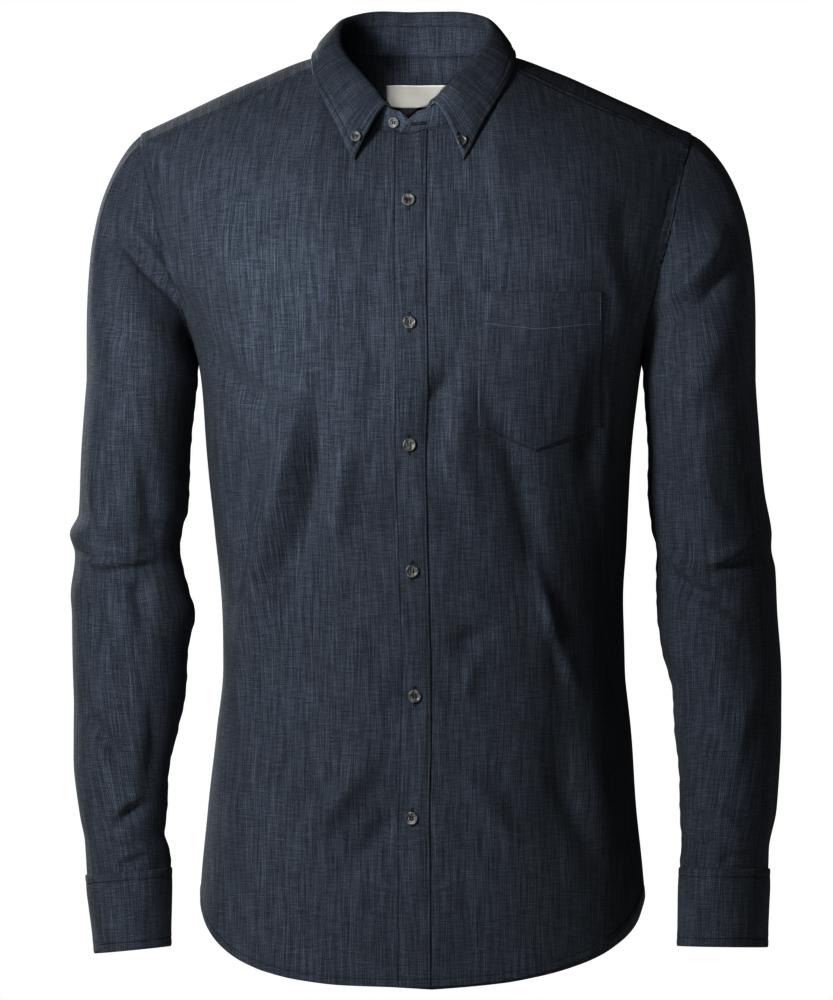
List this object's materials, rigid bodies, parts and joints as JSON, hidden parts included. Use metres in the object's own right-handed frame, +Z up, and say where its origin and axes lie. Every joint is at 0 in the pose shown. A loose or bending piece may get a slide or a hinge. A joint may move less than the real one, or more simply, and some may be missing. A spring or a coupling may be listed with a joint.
{
  "type": "denim button-down shirt",
  "caption": "Long-sleeved denim shirt, hollow as if worn: button-down collar, front placket, chest pocket, back yoke, buttoned cuffs and curved hem.",
  "frame": {"origin": "middle of the neck opening, level with the points where the shoulders meet the neck", "axes": "+Z up through the neck, -Y the way the front faces, +X the wearer's left side"},
  "size_m": [0.5832, 0.2747, 0.8056],
  "materials": {
    "denim": "matte dark indigo chambray denim with fine slub",
    "horn_buttons": "smoke-grey, semi-gloss, four holes",
    "label_satin": "plain silver-white satin, blank",
    "tab_ribbon": "plain maroon ribbon"
  },
  "bodies": {
    "root": {"front_left": "denim", "front_right": "denim", "front_placket": "denim", "back_panel": "denim", "back_yoke": "denim", "sleeve_left": "denim", "sleeve_right": "denim", "sleeve_placket_left": "denim", "sleeve_placket_right": "denim", "cuff_left": "denim", "cuff_right": "denim", "collar_stand": "denim", "collar_leaf": "denim", "chest_pocket": "denim", "front_button_1": "horn_buttons", "front_button_2": "horn_buttons", "front_button_3": "horn_buttons", "front_button_4": "horn_buttons", "front_button_5": "horn_buttons", "front_button_6": "horn_buttons", "neck_button": "horn_buttons", "collar_button_left": "horn_buttons", "collar_button_right": "horn_buttons", "cuff_button_left": "horn_buttons", "cuff_button_right": "horn_buttons", "neck_label": "label_satin", "label_tab": "tab_ribbon"}
  },
  "joints": []
}
